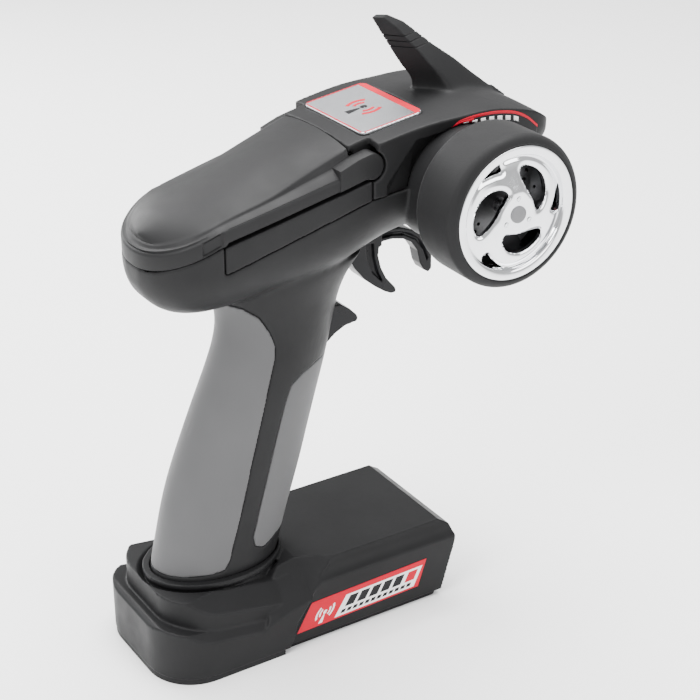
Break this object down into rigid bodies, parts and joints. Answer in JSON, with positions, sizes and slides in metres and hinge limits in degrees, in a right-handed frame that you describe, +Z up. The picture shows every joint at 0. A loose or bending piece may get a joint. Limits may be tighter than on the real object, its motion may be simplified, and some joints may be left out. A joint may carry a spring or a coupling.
{
  "type": "pistol-grip radio transmitter",
  "caption": "Hand-held pistol-grip radio controller with a chromed steering wheel, trigger, hinged lid, swept aerial fin and a flat battery base.",
  "frame": {"origin": "middle of the left-right width on the flat underside of the base, below the middle of the grip", "axes": "+X towards the steering wheel's side, +Y forward, away from the user, +Z up from the surface it stands on"},
  "size_m": [0.0997, 0.1784, 0.2446],
  "materials": {
    "housing_plastic": "satin moulded, dark grey, fine texture",
    "lid_plastic": "satin moulded, dark grey",
    "grip_rubber": "soft-touch, mid grey",
    "trigger_plastic": "satin, near black",
    "control_plastic": "satin, black, moulded grip marks",
    "part_plastic": "black moulded component bodies",
    "bush_plastic": "natural acetal",
    "badge_silver": "brushed plate, thin red border, no mark",
    "side_graphic": null,
    "shoulder_graphic": null,
    "tyre_foam": "fine-grained dark foam rubber",
    "rim_chrome": "bright plated plastic",
    "hub_grey": "satin grey cap",
    "bolt_steel": "plated steel",
    "disc_dark": "dark, drilled",
    "caliper_plastic": "dark moulded",
    "pin_steel": "ground steel",
    "contact_metal": "nickel plated",
    "cell_sleeve": "plain shrink sleeve",
    "red_insulation": "PVC insulation",
    "black_insulation": "PVC insulation",
    "board_laminate": "green solder resist",
    "lens_red": "clear red lens",
    "lens_green": "clear green lens"
  },
  "bodies": {
    "root": {"control_panel": "housing_plastic", "front_cowl": "housing_plastic", "badge_plate": "badge_silver", "rear_grip": "grip_rubber", "front_grip": "grip_rubber", "left_housing": "housing_plastic", "right_housing": "housing_plastic", "base_shell": "housing_plastic", "base_tray": "housing_plastic", "contact_plates": "contact_metal", "battery_cell_1": "cell_sleeve", "battery_cell_2": "cell_sleeve", "battery_cell_3": "cell_sleeve", "battery_cell_4": "cell_sleeve", "battery_springs": "contact_metal", "lead_positive": "red_insulation", "lead_negative": "black_insulation", "main_board": "board_laminate", "rf_shield": "contact_metal", "antenna": "black_insulation", "steering_trim_pot": "part_plastic", "throttle_trim_pot": "part_plastic", "dual_rate_pot": "part_plastic", "steering_reverse_switch": "part_plastic", "throttle_reverse_switch": "part_plastic", "power_switch": "part_plastic", "bind_switch": "part_plastic", "power_led": "lens_red", "battery_led": "lens_green", "wheel_bush": "bush_plastic", "steering_pot": "part_plastic", "steering_spring": "pin_steel", "trigger_pin": "pin_steel", "throttle_pot": "part_plastic", "trigger_spring": "pin_steel", "lever_pin": "pin_steel", "lid_hinge_pin": "pin_steel", "housing_screws": "bolt_steel", "base_screws": "bolt_steel", "board_screws": "bolt_steel", "side_label": "side_graphic", "shoulder_label": "shoulder_graphic"},
    "wheel": {"tyre": "tyre_foam", "wheel_rim": "rim_chrome", "wheel_bolts": "bolt_steel", "hub_cap": "hub_grey", "brake_disc": "disc_dark", "brake_caliper": "caliper_plastic", "wheel_shaft": "pin_steel"},
    "trigger_body": {"trigger": "trigger_plastic"},
    "lever_body": {"finger_lever": "trigger_plastic"},
    "lid_body": {"lid": "lid_plastic"},
    "door_body": {"battery_door": "housing_plastic"},
    "steering_trim": {"steering_trim_knob": "control_plastic"},
    "throttle_trim": {"throttle_trim_knob": "control_plastic"},
    "dual_rate": {"dual_rate_knob": "control_plastic"},
    "steering_reverse": {"steering_reverse_slider": "control_plastic"},
    "throttle_reverse": {"throttle_reverse_slider": "control_plastic"},
    "power": {"power_slider": "control_plastic"},
    "bind": {"bind_button": "control_plastic"}
  },
  "joints": [
    {"name": "steering", "type": "hinge", "parent": "root", "child": "wheel", "pos_m": [0.05, 0.0607, 0.1834], "axis": [1, 0, 0], "range_deg": [-38, 38], "stiffness_Nm_per_rad": 0.08},
    {"name": "throttle", "type": "hinge", "parent": "root", "child": "trigger_body", "pos_m": [0, 0.036, 0.1705], "axis": [-1, 0, 0], "range_deg": [-10, 18], "stiffness_Nm_per_rad": 0.1},
    {"name": "third_channel", "type": "hinge", "parent": "root", "child": "lever_body", "pos_m": [0, 0.0085, 0.127], "axis": [1, 0, 0], "range_deg": [-4, 8], "stiffness_Nm_per_rad": 0.05},
    {"name": "lid_hinge", "type": "hinge", "parent": "root", "child": "lid_body", "pos_m": [0, 0.0205, 0.1983], "axis": [-1, 0, 0], "range_deg": [0, 45]},
    {"name": "door_slide", "type": "slide", "parent": "root", "child": "door_body", "axis": [0, 1, 0], "range_m": [0, 0.055]},
    {"name": "steering_trim_turn", "type": "hinge", "parent": "root", "child": "steering_trim", "pos_m": [-0.014, -0.0039, 0.18745], "axis": [0, -0.2265, 0.974], "range_deg": [-135, 135]},
    {"name": "throttle_trim_turn", "type": "hinge", "parent": "root", "child": "throttle_trim", "pos_m": [0, -0.0039, 0.18745], "axis": [0, -0.2265, 0.974], "range_deg": [-135, 135]},
    {"name": "dual_rate_turn", "type": "hinge", "parent": "root", "child": "dual_rate", "pos_m": [0.014, -0.0039, 0.18745], "axis": [0, -0.2265, 0.974], "range_deg": [-135, 135]},
    {"name": "steering_reverse_slide", "type": "slide", "parent": "root", "child": "steering_reverse", "axis": [0, 0.974, 0.2265], "range_m": [-0.0019, 0.0019]},
    {"name": "throttle_reverse_slide", "type": "slide", "parent": "root", "child": "throttle_reverse", "axis": [0, 0.974, 0.2265], "range_m": [-0.0019, 0.0019]},
    {"name": "power_slide", "type": "slide", "parent": "root", "child": "power", "axis": [0, 0.974, 0.2265], "range_m": [-0.0019, 0.0019]},
    {"name": "bind_press", "type": "slide", "parent": "root", "child": "bind", "axis": [0, 0.2265, -0.974], "range_m": [0, 0.001], "stiffness_N_per_m": 60}
  ]
}
